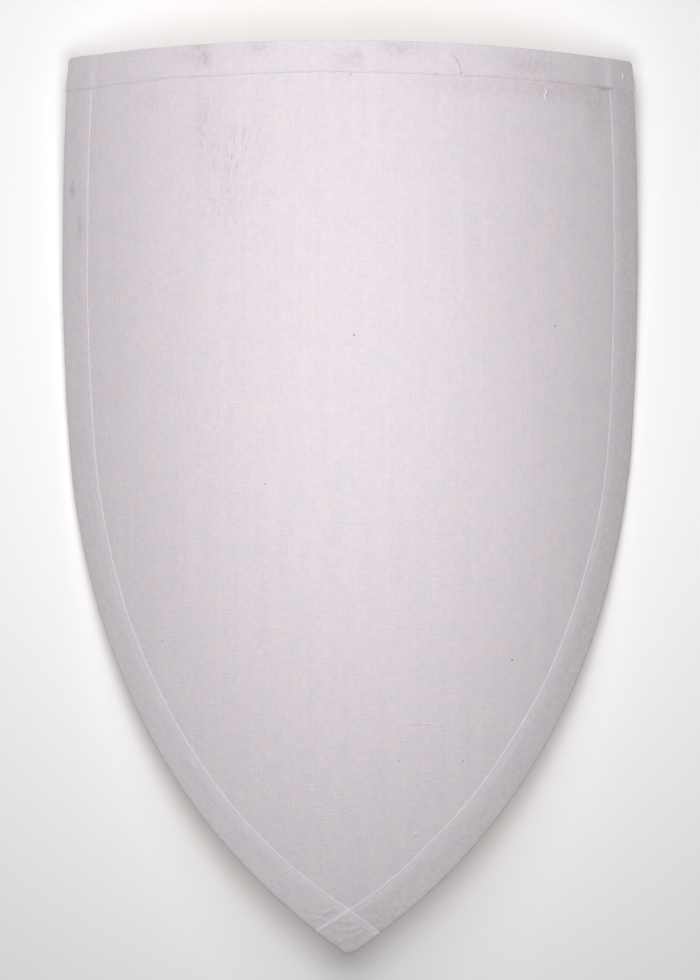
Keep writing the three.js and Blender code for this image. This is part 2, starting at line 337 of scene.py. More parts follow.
def makePrimedCanvas(name, look):
    material, tree = newMaterial(name)
    flat = addNode(tree, "ShaderNodeUVMap", uv_map="flat").outputs["UV"]
    leaning = addNode(tree, "ShaderNodeMapping", {
        "Vector": flat, "Rotation": (0, 0, math.radians(look["scuffLean"]))}).outputs[0]
    layer = {}
    for part, (across, along) in look["cells"].items():
        place = addNode(tree, "ShaderNodeMapping", {
            "Vector": leaning if part == "scuff" else flat,
            "Scale": (1 / (across * mm), 1 / (along * mm), 1)}).outputs[0]
        layer[part] = addNode(tree, "ShaderNodeTexNoise", {
            "Vector": place, "Scale": 1.0, "Detail": 1.5, "Roughness": 0.55}).outputs["Fac"]
    weave = addNode(tree, "ShaderNodeMath", {0: layer["warp"], 1: layer["weft"]}, operation="ADD").outputs[0]
    streaked = addNode(tree, "ShaderNodeMath", {
        0: layer["streak"], 1: look["streakShare"], 2: weave}, operation="MULTIPLY_ADD").outputs[0]
    brushed = addNode(tree, "ShaderNodeMath", {
        0: layer["brush"], 1: look["brushShare"], 2: streaked}, operation="MULTIPLY_ADD").outputs[0]
    uneven = addNode(tree, "ShaderNodeMath", {
        0: layer["mottle"], 1: look["mottleShare"], 2: brushed}, operation="MULTIPLY_ADD").outputs[0]
    middle = 1 + 0.5 * (look["streakShare"] + look["brushShare"] + look["mottleShare"])
    # darker where the weave, its streaks and its mottle run low: painted shade in the weave's hollows,
    # together with primer lying thin and uneven
    thinAndHollowShade = addNode(tree, "ShaderNodeMapRange", {
        "Value": uneven, "From Min": middle - look["thinAndShadeSpread"], "From Max": middle + look["thinAndShadeSpread"],
        "To Min": look["thinAndShadeMost"], "To Max": 0.0}).outputs[0]
    tint = addNode(tree, "ShaderNodeMapRange", {
        "Value": layer["mottle"], "From Min": 0.35, "From Max": 0.65}).outputs[0]
    primer = addNode(tree, "ShaderNodeMix", {
        0: tint, 6: linearColour(look["cool"]), 7: linearColour(look["warm"])}, data_type="RGBA").outputs[2]
    # the thin colour serves as thin primer and as painted shade in the weave's low places
    cloth = addNode(tree, "ShaderNodeMix", {
        0: thinAndHollowShade, 6: primer, 7: linearColour(look["thinAndHollowShade"])}, data_type="RGBA").outputs[2]
    # the piece says where it is soiled and where shade is painted, and, with values below nothing, where
    # primer has built up and a highlight is painted
    grimeAndPaintedLight = addNode(tree, "ShaderNodeAttribute", attribute_name="grime").outputs["Fac"]
    builtUpHighlight = addNode(tree, "ShaderNodeMath", {
        0: grimeAndPaintedLight, 1: -1.0}, operation="MULTIPLY", use_clamp=True).outputs[0]
    # whiter built-up primer, which also paints a highlight along the side strips' raw edges
    withBuiltUpHighlight = addNode(tree, "ShaderNodeMix", {
        0: builtUpHighlight, 6: cloth, 7: linearColour(look["builtUpAndHighlight"])}, data_type="RGBA").outputs[2]
    broken = addNode(tree, "ShaderNodeMapRange", {
        "Value": layer["fleck"], "From Min": 0.34, "From Max": 0.64, "To Min": 0.3, "To Max": 1.2}).outputs[0]
    # grime and painted shade, broken up over the weave
    grimeAndPaintedShade = addNode(tree, "ShaderNodeMath", {
        0: grimeAndPaintedLight, 1: broken}, operation="MULTIPLY", use_clamp=True).outputs[0]
    scuffs = addNode(tree, "ShaderNodeAttribute", attribute_name="scuff").outputs["Fac"]
    scored = addNode(tree, "ShaderNodeMapRange", {
        "Value": layer["scuff"], "From Min": 0.48, "From Max": 0.7}).outputs[0]
    ragged = addNode(tree, "ShaderNodeMath", {0: scored, 1: broken}, operation="MULTIPLY").outputs[0]
    marked = addNode(tree, "ShaderNodeMath", {
        0: scuffs, 1: ragged, 2: grimeAndPaintedShade}, operation="MULTIPLY_ADD", use_clamp=True).outputs[0]
    # the grime colour here lays both real dirt and painted shade
    colour = addNode(tree, "ShaderNodeMix", {
        0: marked, 6: withBuiltUpHighlight, 7: linearColour(look["grime"])}, data_type="RGBA").outputs[2]
    relief = addNode(tree, "ShaderNodeBump", {
        "Height": streaked, "Strength": 1.0, "Distance": look["threadRelief"]})
    surface = addNode(tree, "ShaderNodeBsdfPrincipled", {
        "Base Color": colour, "Roughness": look["roughness"],
        "Specular IOR Level": look["specular"], "Normal": relief.outputs[0]})
    addNode(tree, "ShaderNodeOutputMaterial", {"Surface": surface.outputs[0]})
    return material


# Birch veneer: pale honey wood, rotary-cut, so the grain runs the board's length in fine lines and short
# dark pores over broad, soft bands. A thin satin from handling, no varnish.
veneerFinish = {
    "pale": "#E2C9A0", "dark": "#B88D5A", "pore": "#7E5A36", "primer": "#E4DDE1",
    # cell across and along the grain in mm: real pores are 0.2 wide, drawn coarser to show
    "cells": {"line": (1.1, 80.0), "grain": (6.0, 420.0), "band": (105.0, 1500.0), "pore": (0.9, 7.0)},
    "rings": 26.0,           # how often the broad bands fold back, as growth rings do in a peeled veneer
    "ringShare": 0.22, "grainShare": 0.36, "lineShare": 0.58,
    "grainRelief": 0.0001, "roughness": 0.58,
}


def makeVeneer(name, look):
    material, tree = newMaterial(name)
    flat = addNode(tree, "ShaderNodeUVMap", uv_map="flat").outputs["UV"]
    layers = {}
    for part, (across, along) in look["cells"].items():
        place = addNode(tree, "ShaderNodeMapping", {
            "Vector": flat, "Scale": (1 / (across * mm), 1 / (along * mm), 1)}).outputs[0]
        layers[part] = addNode(tree, "ShaderNodeTexNoise", {
            "Vector": place, "Scale": 1.0, "Detail": 2.0, "Roughness": 0.5}).outputs["Fac"]
    swing = addNode(tree, "ShaderNodeMath", {
        0: layers["band"], 1: look["rings"]}, operation="MULTIPLY").outputs[0]
    folded = addNode(tree, "ShaderNodeMath", {0: swing, 1: 1.0}, operation="PINGPONG").outputs[0]
    lateWood = addNode(tree, "ShaderNodeMapRange", {
        "Value": folded, "From Min": 0.0, "From Max": 0.7, "To Min": 1.0, "To Max": 0.0},
        interpolation_type="SMOOTHSTEP").outputs[0]
    ringed = addNode(tree, "ShaderNodeMath", {
        0: lateWood, 1: look["ringShare"]}, operation="MULTIPLY").outputs[0]
    grained = addNode(tree, "ShaderNodeMath", {
        0: layers["grain"], 1: look["grainShare"], 2: ringed}, operation="MULTIPLY_ADD").outputs[0]
    lines = addNode(tree, "ShaderNodeMath", {
        0: layers["line"], 1: look["lineShare"], 2: grained}, operation="MULTIPLY_ADD").outputs[0]
    tone = addNode(tree, "ShaderNodeMapRange", {"Value": lines, "From Min": 0.3, "From Max": 0.85}).outputs[0]
    wood = addNode(tree, "ShaderNodeMix", {
        0: tone, 6: linearColour(look["pale"]), 7: linearColour(look["dark"])}, data_type="RGBA").outputs[2]
    opened = addNode(tree, "ShaderNodeMapRange", {
        "Value": layers["pore"], "From Min": 0.6, "From Max": 0.68, "To Min": 0.0, "To Max": 0.45}).outputs[0]
    pored = addNode(tree, "ShaderNodeMix", {
        0: opened, 6: wood, 7: linearColour(look["pore"])}, data_type="RGBA").outputs[2]
    # primer that squeezed out from under the strips, patchy where it was wiped
    smear = addNode(tree, "ShaderNodeAttribute", attribute_name="smear").outputs["Fac"]
    wiped = addNode(tree, "ShaderNodeMapRange", {
        "Value": layers["line"], "From Min": 0.35, "From Max": 0.65, "To Min": 0.4, "To Max": 1.1}).outputs[0]
    patchy = addNode(tree, "ShaderNodeMath", {
        0: smear, 1: wiped}, operation="MULTIPLY", use_clamp=True).outputs[0]
    colour = addNode(tree, "ShaderNodeMix", {
        0: patchy, 6: pored, 7: linearColour(look["primer"])}, data_type="RGBA").outputs[2]
    relief = addNode(tree, "ShaderNodeBump", {
        "Height": lines, "Strength": 1.0, "Distance": look["grainRelief"]})
    surface = addNode(tree, "ShaderNodeBsdfPrincipled", {
        "Base Color": colour, "Roughness": look["roughness"], "Normal": relief.outputs[0]})
    addNode(tree, "ShaderNodeOutputMaterial", {"Surface": surface.outputs[0]})
    return material


primedCanvas = makePrimedCanvas("primed canvas", canvasFinish)
birchVeneer = makeVeneer("birch veneer", veneerFinish)
print("finishes made")


# Sheets that follow the board's outline

def sheetGrid(step, inset):                  # rows up the board, each as wide as the outline there
    s = shieldShape
    low, high = edgePoints[0, 1] + edgeStep, s["topHeight"]
    rows = int((high - low) / step)
    columns = int(2 * s["widestHalf"] / step)
    v = low + (high - low) * np.linspace(0, 1, rows) ** 1.15     # closer rows at the tip
    rising = edgePoints[:, 1] < high - 0.01
    half = np.interp(v, edgePoints[rising, 1], edgePoints[rising, 0]) - inset
    half[-1] = half[-2] - s["cornerRadius"]
    u = np.outer(np.clip(half, 0.5, None), np.linspace(-1, 1, columns))
    return u, np.repeat(v[:, None], columns, axis=1)


def slabPiece(name, u, v, top, bottom, **marks):
    rows, columns = u.shape
    upper = np.column_stack((u.ravel(), v.ravel(), top.ravel()))
    lower = np.column_stack((u.ravel(), v.ravel(), bottom.ravel()))
    index = np.arange(rows * columns).reshape(rows, columns)
    a, b, c, d = (index[:-1, :-1], index[:-1, 1:], index[1:, 1:], index[1:, :-1])
    faces = np.stack([x.ravel() for x in (a, b, c, d)], axis=1).tolist()
    faces += (np.stack([x.ravel() for x in (d, c, b, a)], axis=1) + rows * columns).tolist()
    rim = np.concatenate((index[0], index[1:, -1], index[-1, -2::-1], index[-2:0:-1, 0]))
    after = np.roll(rim, -1)
    faces += np.stack((rim, rim + rows * columns, after + rows * columns, after), axis=1).tolist()
    bothSides = {label: np.tile(values.ravel(), 2) for label, values in marks.items()}
    return newPiece(name, np.concatenate((upper, lower)), faces, **bothSides)


# The board

boardPiece = {
    "gridStep": 4.5, "primerSmear": 0.6, "smearReach": 9.0,
    "raggedEdge": [(5, 60, 31), (3, 22, 32)],    # depth and cell of the smear's waves, in mm, and a seed
}


def makeBoard(cut, stripWidth):
    u, v = sheetGrid(cut["gridStep"], 0)
    flat = np.zeros_like(u)
    depth = np.maximum(insideStrip(u, v, stripWidth), insideStrip(-u, v, stripWidth))
    ragged = sum(reach * softNoise(u, v, cell, cell, seed) for reach, cell, seed in cut["raggedEdge"])
    smear = cut["primerSmear"] * ramp(depth + ragged, -cut["smearReach"], 0)
    board = slabPiece("board_back", u, v, flat, flat - shieldShape["thickness"], smear=smear)
    layDown(board, birchVeneer)
    finishPiece(board, "board")


# The canvas face

canvasFace = {
    "thickness": 0.8, "gridStep": 4.4, "inset": 0.4,
    "flatArea": 0.424,       # square metres, cut to the board's outline
    # height, cell across and cell up of the glue's and the veneer's unevenness, in mm, and a seed
    "swells": [(0.22, 120, 170, 3), (0.07, 38, 70, 5), (0.035, 10, 60, 8)],
    # across, up, half width and half height of each grey patch, in mm, and its strength
    "grime": [
        (-152, 860, 21, 10, 0.12), (-142, 857, 6, 9, 0.18), (-148, 869, 10, 3, 0.14), (-88, 865, 12, 8, 0.15),
        (-198, 820, 10, 10, 0.08), (-5, 851, 14, 8, 0.12), (7, 854, 4, 9, 0.14), (48, 862, 18, 8, 0.18),
        (178, 853, 26, 9, 0.14), (120, 829, 60, 9, 0.08), (215, 831, 48, 12, 0.11), (-146, 790, 6, 40, 0.12),
        (264, 838, 7, 2, 0.34), (240, 836, 12, 3, 0.16), (0, 4, 50, 30, 0.10), (-294, 740, 2.5, 7, 0.3),
        (-283, 702, 5, 12, 0.14), (-134, 770, 4, 30, 0.06), (-118, 745, 5, 45, 0.06),
        (255, 815, 12, 26, 0.10), (0, 836, 4, 3, 0.10),
    ],
    "scuffs": [(-106, 768, 28, 36, 0.18), (-126, 722, 20, 36, 0.18), (-139, 808, 12, 26, 0.14)],
}
canvasTop = shieldShape["glueLine"] + canvasFace["thickness"]


def canvasSwell(u, v):
    return sum(h * softNoise(u, v, cellU, cellV, seed) for h, cellU, cellV, seed in canvasFace["swells"])


def patchesAt(u, v, patches):
    return sum(strength * np.exp(-((u - midU) / halfU) ** 2 - ((v - midV) / halfV) ** 2)
               for midU, midV, halfU, halfV, strength in patches)


def makeCanvasFace(cut):
    u, v = sheetGrid(cut["gridStep"], cut["inset"])
    top = canvasTop + canvasSwell(u, v)
    bottom = np.full_like(u, shieldShape["glueLine"] * 0.5)
    face = slabPiece("canvas_front", u, v, top, bottom,
                     grime=patchesAt(u, v, cut["grime"]), scuff=patchesAt(u, v, cut["scuffs"]))
    layDown(face, primedCanvas)
    finishPiece(face, "canvas_face")
    return face


# The edge strips: a front flap, the fold round the edge and a back flap, as one closed band of cloth

edgeStrip = {
    "thickness": 0.9, "sideWidth": 31.0, "topWidth": 29.5, "foldRadius": 1.3,
    # hand-cut: how far the raw edge wanders, how much more along the top, and share and length of its waves
    "widthWander": 0.5, "topWander": 1.5, "waves": [(1.0, 90), (0.5, 27), (0.4, 8)],
    # height up the shield and how much wider the strip is there, in mm
    "rightWidth": [(0, 2.5), (60, 2.4), (120, 2.2), (240, 0), (315, -0.8), (410, -2.6), (505, -1.8),
                   (600, -1.0), (700, -1.6), (868, -0.4)],
    "leftWidth": [(0, 2.2), (40, 1.2), (100, -1.2), (240, -1.0), (315, -2.0), (410, -1.0), (505, 0),
                  (868, 0.4)],
    "lapRamp": 2.4,          # how far a strip needs to climb over another
    "lapCrest": 0.2,
    "foldClimb": 75.0,       # and how far round the tip's fold
    "tipPress": 0.6, "tipPressBand": (4, 34),    # the fold is pressed down again past the tip
    "cornerLap": 0.5,        # the top strip is pressed hard over the side strips' folds
    "topLineDirtAndShade": 0.05, "topLineCell": 14.0,   # dirt and painted shade under the top strip's raw edge, and its patches
    # grime from being carried and painted shade along the left and the right edge, heavier on the right, and
    # where it grows, out from the raw edge
    "edgeDirtAndShade": (0.02, 0.09), "edgeDirtAndShadeBand": (-8, 24),
    "step": 3.6, "tipStep": 0.9, "fanStart": 46.0, "cornerStep": 1.2, "cornerRun": 46.0,
    "belowTop": 2.0,         # the side strips end this far below the top edge
    # distance in from the flap's raw edge, and height over the canvas: the cut was pressed and primed over
    "sideBead": [(-0.45, -0.3), (-0.36, 0.05), (-0.2, 0.32), (0.0, 0.52), (0.35, 0.64), (1.2, 0.7),
                 (3.0, 0.86), (6.0, 1.1)],
    "topBead": [(-1.0, -0.3), (-0.7, 0.06), (-0.3, 0.38), (0.2, 0.62), (0.9, 0.8), (1.8, 0.92),
                (3.2, 1.05), (6.0, 1.2)],
    "beadRoom": 9.0,         # the bead shrinks where the flap is narrower than this
    "backEdge": 0.6,         # how far the back flap's raw edge is spread
    "ridgePrimerAndHighlight": 0.07, "ridgeCell": 23.0,        # how white the built-up primer and its painted highlight are, and their patches
    "ridgeHalf": 0.35,       # half the width of its crest
    "ridgeShade": 4.4, "ridgeShadeBand": (250, 600),    # higher up, the right one turns to painted shade instead
    "flapRows": 20, "backRows": 9, "foldTurns": 5,
    "gluedShares": (0.03, 0.35, 0.7, 0.96),      # where the glued side has its rows, across the flap
    # across, up, radius and height of lumps under the cloth, in mm
    "lumps": [(-256, 350, 4.0, 0.5), (-159, 176, 4.5, 0.5), (262, 420, 5.0, 0.3), (232, 300, 6.0, 0.3)],
    # across, up, direction in degrees, half length, half width and height of creases at the tip
    "creases": [(-26, 37, 8, 12, 1.5, 0.5), (-30, 32, 20, 11, 1.4, 0.45), (-22, 30, -8, 10, 1.4, 0.4),
                (4, 22, 18, 12, 1.5, 0.5), (8, 17, 32, 10, 1.4, 0.45), (0, 28, 4, 9, 1.3, 0.35),
                (-6, 11, 40, 9, 1.4, 0.4), (-36, 41, -2, 9, 1.3, 0.35)],
    "creaseBow": 60.0,       # creases bend a little
}
stripLayer = shieldShape["glueLine"] + edgeStrip["thickness"]


def lapOver(u, v, width):                    # a strip climbs over another, highest over its raw edge
    inside = insideStrip(u, v, width)
    crest = edgeStrip["lapCrest"] * np.exp(-(inside - 0.6) ** 2)
    return stripLayer * ramp(inside, -edgeStrip["lapRamp"], 0.4) + crest


def stripRelief(u, v):
    total = np.zeros_like(u)
    for midU, midV, radius, height in edgeStrip["lumps"]:
        total += height * np.exp(-((u - midU) ** 2 + (v - midV) ** 2) / radius ** 2)
    for midU, midV, degrees, halfLength, halfWidth, height in edgeStrip["creases"]:
        turn = math.radians(degrees)
        along = (u - midU) * math.cos(turn) + (v - midV) * math.sin(turn)
        bow = along ** 2 / edgeStrip["creaseBow"]
        across = (v - midV) * math.cos(turn) - (u - midU) * math.sin(turn) - bow
        total += height * np.exp(-(along / halfLength) ** 2 - (across / halfWidth) ** 2)
    return total


def foldedBand(name, run, inner, lapAt, edgeLap, bead, beadDirtAndPaintedLight, edgeDirtAndShade, alongCloth):
    cut = edgeStrip
    edge, outward = pointAt(run), outwardAt(run)
    width = np.linalg.norm(edge - inner, axis=1)[:, None]
    toEdge = (edge - inner) / np.maximum(width, 1e-6)
    room = np.clip(width / cut["beadRoom"], 0, 1)
    back = -shieldShape["thickness"]
    radius = cut["foldRadius"]
    rows = []

    def addRow(place, height, dirtAndPaintedLight=0.0):
        rows.append((place, height, dirtAndPaintedLight + 0 * height))

    def lap(place):
        return lapAt(place[:, :1], place[:, 1:])

    def front(place):
        u, v = place[:, :1], place[:, 1:]
        return canvasTop + canvasSwell(u, v) + lap(place) + stripRelief(u, v)

    # each raw edge's crest takes the colour given for it: built-up primer with a painted highlight on the
    # side strips, painted shade higher up on the right, and dirt with painted shade along the top
    for offset, rise in bead:
        place = inner + toEdge * offset * room
        addRow(place, front(place) + rise, beadDirtAndPaintedLight[:, None] * (abs(offset) < cut["ridgeHalf"]))
    start = bead[-1][0] * room
    end = np.maximum(width - radius, start)
    for share in np.linspace(0, 1, cut["flapRows"] + 1)[1:]:
        place = inner + toEdge * (start + share * (end - start))
        addRow(place, front(place) + stripLayer)
    reach = stripLayer + edgeLap[:, None]
    top = front(edge) + stripLayer
    bottom = back - stripLayer - lap(edge)
    for turn in np.linspace(0, math.pi / 2, cut["foldTurns"])[1:]:
        rolled = edge + outward * (reach - radius + radius * math.sin(turn))
        addRow(rolled, top - radius + radius * math.cos(turn))
    for share in (0.33, 0.67):
        addRow(edge + outward * reach, (top - radius) * (1 - share) + (bottom + radius) * share)
    for turn in np.linspace(math.pi / 2, math.pi, cut["foldTurns"]):
        rolled = edge + outward * (reach - radius + radius * math.sin(turn))
        addRow(rolled, bottom + radius + radius * math.cos(turn))
    for share in np.linspace(1, 0, cut["backRows"]):
        place = inner + toEdge * share * end
        addRow(place, back - stripLayer - lap(place))
    place = inner - toEdge * cut["backEdge"] * room
    addRow(place, back - 0.4 * stripLayer - lap(place))
    # the side that is glued down
    gluedStart = len(rows)
    glued = shieldShape["glueLine"] * 0.9
    for share in cut["gluedShares"]:
        place = inner + toEdge * share * width
        addRow(place, back - glued - lap(place))
    inside = edge + outward * (reach - cut["thickness"])
    addRow(inside, bottom + cut["thickness"])
    addRow(inside, top - cut["thickness"])
    for share in reversed(cut["gluedShares"]):
        place = inner + toEdge * share * width
        addRow(place, front(place) + glued)

    grid = np.stack([np.hstack((place, height)) for place, height, _ in rows], axis=1)
    onFront = grid[..., 2] > -0.5 * shieldShape["thickness"]
    # dirt, painted shade and painted highlight that the band carries in its grime values
    dirtAndPaintedLight = np.stack([d for _, _, d in rows], axis=1)[..., 0]
    dirtAndPaintedLight += patchesAt(grid[..., 0], grid[..., 1], canvasFace["grime"]) * onFront
    fromRawEdge = np.linalg.norm(grid[..., :2] - inner[:, None], axis=2)
    # painted shade, with some dirt from carrying, darkens the front towards the outer edge
    dirtAndPaintedLight += edgeDirtAndShade * ramp(fromRawEdge, *cut["edgeDirtAndShadeBand"]) * onFront
    stations, loop = grid.shape[:2]
    steps = np.linalg.norm(np.diff(grid, axis=1, prepend=grid[:, :1]), axis=2)
    across = np.cumsum(steps, axis=1)
    along = np.repeat(run[:, None], loop, axis=1)
    cloth = np.stack((across, along), axis=2) if alongCloth else grid[..., :2]
    index = np.arange(stations * loop).reshape(stations, loop)
    after = np.roll(index, -1, axis=1)
    quads = np.stack((index[:-1], after[:-1], after[1:], index[1:]), axis=2).reshape(-1, 4).tolist()
    caps = [index[0, ::-1].tolist(), index[-1].tolist()]
    band = newPiece(name, grid.reshape(-1, 3), quads + caps, cloth.reshape(-1, 2), grime=dirtAndPaintedLight.ravel())
    flatArea = float(np.mean(across[:, gluedStart]) * abs(run[-1] - run[0])) * mm * mm
    return band, flatArea


def wander(run, seed):
    return edgeStrip["widthWander"] * sum(
        share * softNoise(run, run * 0, length, 1, seed + i)
        for i, (share, length) in enumerate(edgeStrip["waves"]))


def sideStations(widths, seed):              # from just below the top corner down to the tip and past it
    cut = edgeStrip
    innerRadius = shieldShape["flankRadius"] - cut["sideWidth"]
    # where the inner edge, run straight on past the middle, meets the other side of the board
    crossU = (innerRadius ** 2 - shieldShape["flankRadius"] ** 2) / (-4 * flankCentre[0])
    crossV = flankCentre[1] - math.sqrt(innerRadius ** 2 - (crossU - flankCentre[0]) ** 2)
    endRun = -runAtHeight(crossV)
    topRun = runAtHeight(shieldShape["topHeight"] - cut["belowTop"])
    fan = np.arange(endRun, cut["fanStart"], cut["tipStep"])
    straight = np.linspace(cut["fanStart"], topRun, int((topRun - cut["fanStart"]) / cut["step"]))
    run = np.concatenate((fan, straight))
    edge = pointAt(run)
    uneven = wander(run, seed) + np.interp(edge[:, 1], *np.transpose(widths))
    inner = edge - outwardAt(run) * (cut["sideWidth"] + uneven[:, None])
    startAngle = angleFrom(flankCentre, (crossU, crossV))
    fanEnd = np.array([cut["fanStart"]])
    turnPoint = pointAt(fanEnd) - outwardAt(fanEnd) * cut["sideWidth"]
    endAngle = angleFrom(flankCentre, turnPoint[0])
    share = (fan - endRun) / (cut["fanStart"] - endRun)
    angles = startAngle + (endAngle - startAngle) * share
    fanRadius = innerRadius - uneven[:len(fan)] * ramp(share, 0, 0.3)
    inner[:len(fan)] = flankCentre + fanRadius[:, None] * np.column_stack((np.cos(angles), np.sin(angles)))
    return run, inner


def topStations():
    cut = edgeStrip
    low = shieldShape["topHeight"] - cut["topWidth"]
    startRun = runAtHeight(low)
    endRun = 2 * halfRound - startRun
    corner = cut["cornerRun"]
    bend = np.arange(0, corner, cut["cornerStep"])
    count = int((endRun - startRun - 2 * corner) / cut["step"])
    middle = np.linspace(startRun + corner, endRun - corner, count)
    run = np.concatenate((startRun + bend, middle, endRun - bend[::-1]))
    edge = pointAt(run)
    outer = pointAt(np.array([startRun]))[0, 0]
    turned = pointAt(np.array([startRun + corner]))[0, 0]
    share = np.clip(np.abs(run - halfRound) - (halfRound - startRun - corner), 0, None) / corner
    reach = np.where(share > 0, turned * (1 - share) + outer * share, np.abs(edge[:, 0]))
    uneven = cut["topWander"] * wander(run, 47) * ramp(1 - share, 0, 0.4)
    inner = np.column_stack((reach * np.sign(halfRound - run), low + uneven))
    return run, inner


def noLap(u, v):
    return np.zeros_like(u)


def makeStrips(cut):
    width = cut["sideWidth"]
    run, inner = sideStations(cut["rightWidth"], 41)
    leftRun, leftInner = [x[::-1] for x in sideStations(cut["leftWidth"], 43)]
    leftRun, leftInner = -leftRun, leftInner * (-1, 1)
    topRun, topInner = topStations()

    def leftLap(u, v):
        return lapOver(u, v, width + cut["rightWidth"][0][1])

    def topLap(u, v):
        return np.maximum(lapOver(u, v, width), lapOver(-u, v, width))

    # over the fold itself a strip climbs gently, so the outline shows no notch
    pressed = 1 - cut["tipPress"] * ramp(leftRun, *cut["tipPressBand"])
    leftEdgeLap = stripLayer * ramp(leftRun, -cut["foldClimb"], 0) * pressed
    topEdgeLap = cut["cornerLap"] * (1 - ramp(outwardAt(topRun)[:, 1], 0.1, 0.9))
    # primer has built up along the side strips' raw edges with a painted highlight; dirt and painted shade
    # lie along the top one's, and painted shade along the upper right
    ridgePrimerAndHighlight = -cut["ridgePrimerAndHighlight"] * (0.6 + 0.5 * softNoise(run, 0 * run, cut["ridgeCell"], 1, 51))
    # painted shade over the upper right strip's raw edge, dimming its lit crest
    shadedRidge = ridgePrimerAndHighlight * (1 - cut["ridgeShade"] * ramp(run, *cut["ridgeShadeBand"]))
    # dirt and painted shade along the top strip's raw edge, where its step shades the canvas
    line = cut["topLineDirtAndShade"] * (1 + softNoise(topRun, 0 * topRun, cut["topLineCell"], 1, 52))
    # grime with painted shade towards the outer edges, more on the right
    leftDirtAndShade, rightDirtAndShade = cut["edgeDirtAndShade"]
    strips = [
        ("right", run, inner, noLap, 0 * run, cut["sideBead"], shadedRidge, rightDirtAndShade, True),
        ("left", leftRun, leftInner, leftLap, leftEdgeLap, cut["sideBead"], ridgePrimerAndHighlight[::-1], leftDirtAndShade, True),
        ("top", topRun, topInner, topLap, topEdgeLap, cut["topBead"], line, 0.0, False),
    ]
    for side, stations, *form in strips:
        band, area = foldedBand(side + "_strip", stations, *form)
        layDown(band, primedCanvas)
        finishPiece(band, side + "_edge_strip")


makeBoard(boardPiece, edgeStrip["sideWidth"])
canvas = makeCanvasFace(canvasFace)
makeStrips(edgeStrip)
print("cloth laid")


# Marks of making and handling: slubs in the weave, loose ends caught in the primer, specks and a stray hair

faceMarks = {
    "slubs": {"Density": 240.0, "Longest": 0.017, "Thickness": 0.0003, "Waver": 0.0007, "Seed": 12},
    "slubSink": 0.12,        # mm that a slub's middle lies below the canvas
    "slubGrid": 4.0, "slubEdge": 5.0, "slubLowest": 55.0,
    # across and up of the points that each loose end follows, in mm, with its thickness
    "looseEnds": [
        (1.15, [(194.2, 831.6), (196.9, 828.0), (194.9, 823.8), (198.2, 818.3)]),
        (1.2, [(288.4, 855.6), (286.4, 852.2), (287.0, 848.0)]),
        (0.34, [(57.3, 216.6), (64.0, 217.3), (71.0, 216.4), (78.6, 216.8)]),
        (0.4, [(-156.0, 181.0), (-159.5, 176.5), (-160.5, 171.5)]),
        (0.36, [(-62.0, 58.0), (-57.0, 55.5), (-53.5, 51.0)]),
        (0.42, [(189.1, 352.0), (189.8, 346.0), (190.6, 340.0), (190.2, 329.0)]),
    ],
    "hair": [(0.22, [(97.6, 858.6), (101.6, 855.2), (104.6, 850.4), (106.4, 845.6), (107.0, 840.8)])],
    "threadLift": 0.1,       # mm that a thread's middle lies above the cloth
    # across, up and radius of each speck, in mm
    "darkSpecks": [(3.8, 588.4, 0.75), (205.7, 600.6, 0.7), (-81.6, 446.2, 0.55), (159.2, 276.0, 0.8),
                   (109.2, 180.2, 0.55), (46.8, 181.5, 0.5), (-186.9, 293.7, 0.55), (1.0, 836.6, 0.55),
                   (-30.0, 318.0, 0.45), (281.7, 805.6, 0.5), (107.3, 840.6, 0.5)],
    "paleNubs": [(63.1, 111.0, 1.5), (1.0, 136.0, 1.2), (-120.0, 402.0, 1.0), (141.0, 520.0, 1.0),
                 (-205.0, 640.0, 1.0), (88.0, 702.0, 0.9), (-44.0, 250.0, 1.0), (226.0, 455.0, 1.0)],
    "speckFlatness": 0.5, "speckSink": 0.05,
}
specksFinish = {"dust": "#5E5658", "hair": "#A88C80", "toneCell": 1.5, "roughness": 0.85}


def faceHeight(u, v):                        # the outer surface of the cloth
    width = edgeStrip["sideWidth"]
    onSide = (insideStrip(u, v, width) > 0) | (insideStrip(-u, v, width) > 0)
    onTop = v > shieldShape["topHeight"] - edgeStrip["topWidth"]
    return canvasTop + canvasSwell(u, v) + stripRelief(u, v) + stripLayer * onSide + stripLayer * onTop


def onFace(places, sink):
    u, v = np.array([place[0] for place in places]), np.array([place[1] for place in places])
    return np.column_stack((u, v, faceHeight(u, v) - sink))


